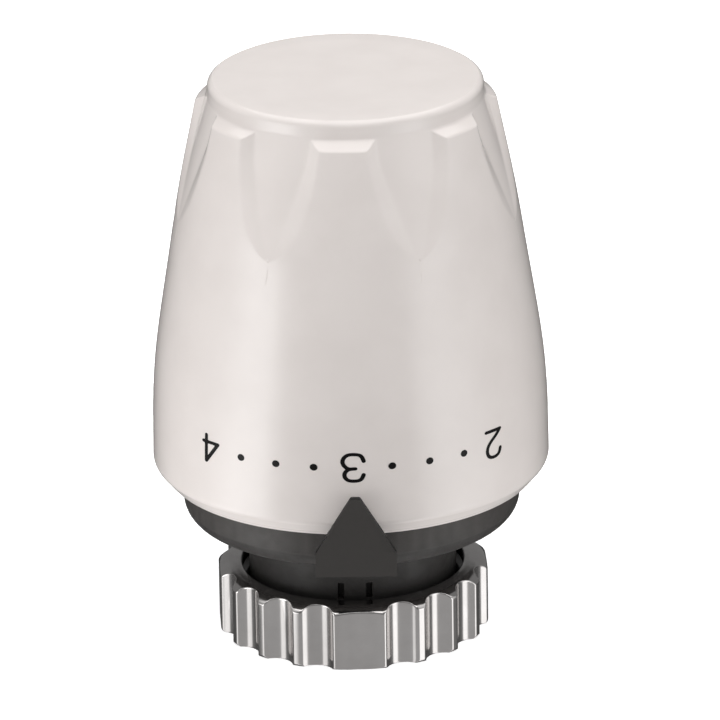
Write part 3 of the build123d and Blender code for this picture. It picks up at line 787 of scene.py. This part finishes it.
def nut_rings():
    """Rings of the nut from its lower inner edge, up outside, and down inside."""
    headings, outline = nut_outline()
    rings = []

    def add(radius, height):
        """One ring; radius and height are single values or one for each heading."""
        rings.append(on_axis_point(radius + 0 * headings, headings, height + 0 * headings))

    brow_radii, brow_heights = zip(*arc_points(*BROW, BROW_POINTS))
    brink = np.interp(outline, brow_radii, brow_heights)
    add(NUT_FOOT_R, 0)
    add(NUT_FOOT_OUTER_R, 0)
    for inset, height in FOOT_ROUNDING:
        add(np.minimum(outline - inset, NUT_R - FOOT_CHAMFER + height), height)
    for share in (0.0, 0.25, 0.5, 0.75):
        add(outline, NUT_WALL_LOW + (brink - NUT_WALL_SHORTER) * share)
    for inset, drop in BRINK_ROUNDING:
        add(outline - inset, brink - drop)
    for share in (0.03, 0.15, 0.35, 0.6, 0.8, 0.95, 1.0):
        radius = outline - BROW_INSET + (BROW[0][0] - outline) * share
        add(radius, np.interp(radius, brow_radii, brow_heights))
    for radius, height in NUT_INSIDE:
        add(radius, height)
    for height in np.linspace(THREAD_TOP - THREAD_GAP, 0.0, THREAD_ROWS):
        flare = MOUTH_FLARE * max(0.0, 1 - height / MOUTH_FLARE_H)
        add(thread_radius(headings, height) + flare, height)
    return rings


def union_nut():
    """The nickel-plated nut, with small rounded edges and a real inside thread."""
    nut = ring_skin("nut_shell", nut_rings(), "loop")
    sharpen(nut, NUT_SHARP_ANGLE)
    return nut


# ------------------------------------------------------------ light and camera


def around_head(heading, elevation, distance):
    """A place in metres at that heading and elevation, seen from the middle of the head."""
    level = distance * math.cos(math.radians(elevation))
    angle = math.radians(heading)
    height = LIGHT_MIDDLE_Z + distance * math.sin(math.radians(elevation))
    return Vector((level * math.sin(angle), -level * math.cos(angle), height))


def soft_box(name, heading, elevation, size, brightness):
    """A rectangular lamp, width by height in metres, that faces the head."""
    lamp = bpy.data.lights.new(name, "AREA")
    lamp.shape = "RECTANGLE"
    lamp.size, lamp.size_y = size
    lamp.energy = brightness * math.pi * size[0] * size[1]
    obj = bpy.data.objects.new(name, lamp)
    place = around_head(heading, elevation, LIGHT_DISTANCE)
    obj.location = place
    obj.rotation_euler = (Vector((0, 0, LIGHT_MIDDLE_Z)) - place).to_track_quat("-Z", "Y").to_euler()
    bpy.context.scene.collection.objects.link(obj)


def glow_card(name, near, far, height, glow):
    """A flat level ring, dark but for the stretches that glow, as (heading, brightness).

    Only the head's reflections and its underside see the card: no camera does. The ring's faces point
    down, and that side is clear, so the card doesn't shade the floor under it.
    """
    headings = np.arange(0, 360, CARD_STEP)
    rings = [on_axis_point(np.full(len(headings), radius), headings, height) for radius in (near, far)]
    count = len(headings)
    faces = [(i, (i + 1) % count, count + (i + 1) % count, count + i) for i in range(count)]
    card = new_object(name, np.concatenate(rings), faces)
    paint = Surface(name, (0.03, 0.03, 0.03), 0.9, Specular_IOR_Level=0.0)
    turn = paint.add("ShaderNodeMapping")
    turn.inputs["Rotation"].default_value = (0, 0, math.pi / 2)
    paint.link(paint.place, turn.inputs["Vector"])
    sweep = paint.add("ShaderNodeTexGradient", gradient_type="RADIAL")
    paint.link(turn.outputs["Vector"], sweep.inputs["Vector"])
    ramp = paint.add("ShaderNodeValToRGB")
    paint.link(sweep.outputs["Fac"], ramp.inputs["Fac"])
    brightest = max(level for _, level in glow)
    stops = ramp.color_ramp.elements
    stops.remove(stops[1])
    stops[0].position = 0.5 + glow[0][0] / 360
    for number, (heading, level) in enumerate(glow):
        stop = stops[0] if number == 0 else stops.new(0.5 + heading / 360)
        stop.color = (level / brightest, level / brightest, level / brightest, 1)
    paint.paint(ramp.outputs["Color"], "Emission Color")
    paint.set("Emission Strength", brightest)
    paint.paint(paint.add("ShaderNodeNewGeometry").outputs["Backfacing"], "Alpha")
    dress(card, paint.material)
    card.visible_camera = False
    card.visible_shadow = False
    return card


def table():
    """The pale floor, bright enough in itself that shadows on it stay faint.

    It is left out of reflections. They show the card on it or, close to the head, the card far below.
    """
    mesh = bpy.data.meshes.new("floor")
    half = FLOOR_SIDE / 2
    corners = [(-half, -half, 0), (half, -half, 0), (half, half, 0), (-half, half, 0)]
    mesh.from_pydata(corners, [], [(0, 1, 2, 3)])
    floor = bpy.data.objects.new("floor", mesh)
    bpy.context.scene.collection.objects.link(floor)
    paint = Surface("floor_paper", (0.93, 0.93, 0.93), 0.9, Emission_Color=(1, 1, 1, 1))
    paint.set("Emission Strength", FLOOR_GLOW)
    paint.paint(paint.blend(paint.noise(40), (0.92, 0.92, 0.92), (0.94, 0.94, 0.94)))
    dress(floor, paint.material)
    floor.visible_glossy = False
    return floor


def studio():
    """Pale floor, a dim even world, two glowing cards, and soft boxes above and to both sides."""
    world = bpy.data.worlds.new("studio")
    world.use_nodes = True
    background = world.node_tree.nodes["Background"]
    background.inputs["Color"].default_value = (1, 1, 1, 1)
    background.inputs["Strength"].default_value = WORLD_LIGHT
    bpy.context.scene.world = world
    table()
    glow_card("well_card", WELL_CARD_NEAR, WELL_CARD_FAR, -WELL_DEPTH, WELL_GLOW)
    glow_card("table_card", TABLE_CARD_NEAR, TABLE_CARD_FAR, TABLE_CARD_LIFT, TABLE_GLOW)
    for lamp in LAMPS:
        soft_box(*lamp)


def camera():
    """The camera at the viewing angle of the reference, with a slight roll."""
    tilt = math.radians(CAMERA_ELEVATION)
    height = CAMERA_PIVOT_Z + CAMERA_DISTANCE * math.sin(tilt)
    place = Vector((0, -CAMERA_DISTANCE * math.cos(tilt), height))
    forward = (Vector(CAMERA_AIM) - place).normalized()
    right = forward.cross(Vector((0, 0, 1))).normalized()
    up = right.cross(forward)
    roll = math.radians(CAMERA_ROLL)
    right_rolled = right * math.cos(roll) + up * math.sin(roll)
    up_rolled = up * math.cos(roll) - right * math.sin(roll)
    data = bpy.data.cameras.new("camera")
    data.lens = LENS
    data.sensor_width = SENSOR_WIDTH
    data.clip_end = CAMERA_REACH
    obj = bpy.data.objects.new("camera", data)
    turn = Matrix((right_rolled, up_rolled, -forward)).transposed().to_4x4()
    obj.matrix_world = Matrix.Translation(place * MM) @ turn
    bpy.context.scene.collection.objects.link(obj)
    bpy.context.scene.camera = obj


# ------------------------------------------------------------ putting it together


def finishes():
    """One material for each of the record's material slots."""
    return {
        "base_black": moulded_black("base_black", 0.047, 0.012),
        # The pointer's sides are painted near black, a painted shade, with a painted highlight band on
        # their bevels
        "pointer_black": moulded_black("pointer_black", 0.025, 0.006, side_shade_tone=0.001),
        "nut_nickel": nickel_plate(),
        "spring_steel": inner_metal(
            "spring_steel", (0.56, 0.56, 0.57), (0.4, 0.38, 0.36), (1, 1, 0.1), 0.2, 0.35
        ),
        "sensor_metal": inner_metal(
            "drawn_brass", (0.78, 0.6, 0.32), (0.5, 0.36, 0.18), (0.1, 0.1, 1), 0.22, 0.4
        ),
        "inner_plastic": inner_nylon("natural_nylon", (0.62, 0.6, 0.55), (0.55, 0.52, 0.46)),
        "washer_plastic": inner_nylon("washer_plastic", (0.85, 0.84, 0.8), (0.78, 0.77, 0.72)),
        "cap_white": gloss_white(),
    }


def round_pointer(pointer):
    """Small rounded edges on the pointer's CAD mesh."""
    seam = pointer.modifiers.new("joined_corners", "WELD")
    seam.merge_threshold = POINTER_JOIN * MM
    rounded = pointer.modifiers.new("rounded_edges", "BEVEL")
    rounded.width = POINTER_ROUNDING * MM
    rounded.segments = 4
    rounded.limit_method = "ANGLE"
    rounded.angle_limit = math.radians(POINTER_SHARP_ANGLE)
    pointer.modifiers.new("even_faces", "WEIGHTED_NORMAL").weight = 100


bpy.context.scene.view_settings.view_transform = "Standard"
studio()
camera()

finish = finishes()
for part in frame["record"]["subparts"]:
    dress(frame["nodes"][part["node"]], finish[part["material_slot"]])
round_pointer(frame["nodes"]["setting_pointer"])

cap = dial_cap()
dress(cap, finish["cap_white"])
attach(cap, "handwheel")
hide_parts("dial_cap")

ink = printing_ink()
for marks in (scale_digits(), scale_dots()):
    thicken(marks, INK_THICK)
    dress(marks, ink)
    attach(marks, "handwheel")

nut = union_nut()
dress(nut, finish["nut_nickel"])
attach(nut, "nut")
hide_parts("union_nut")
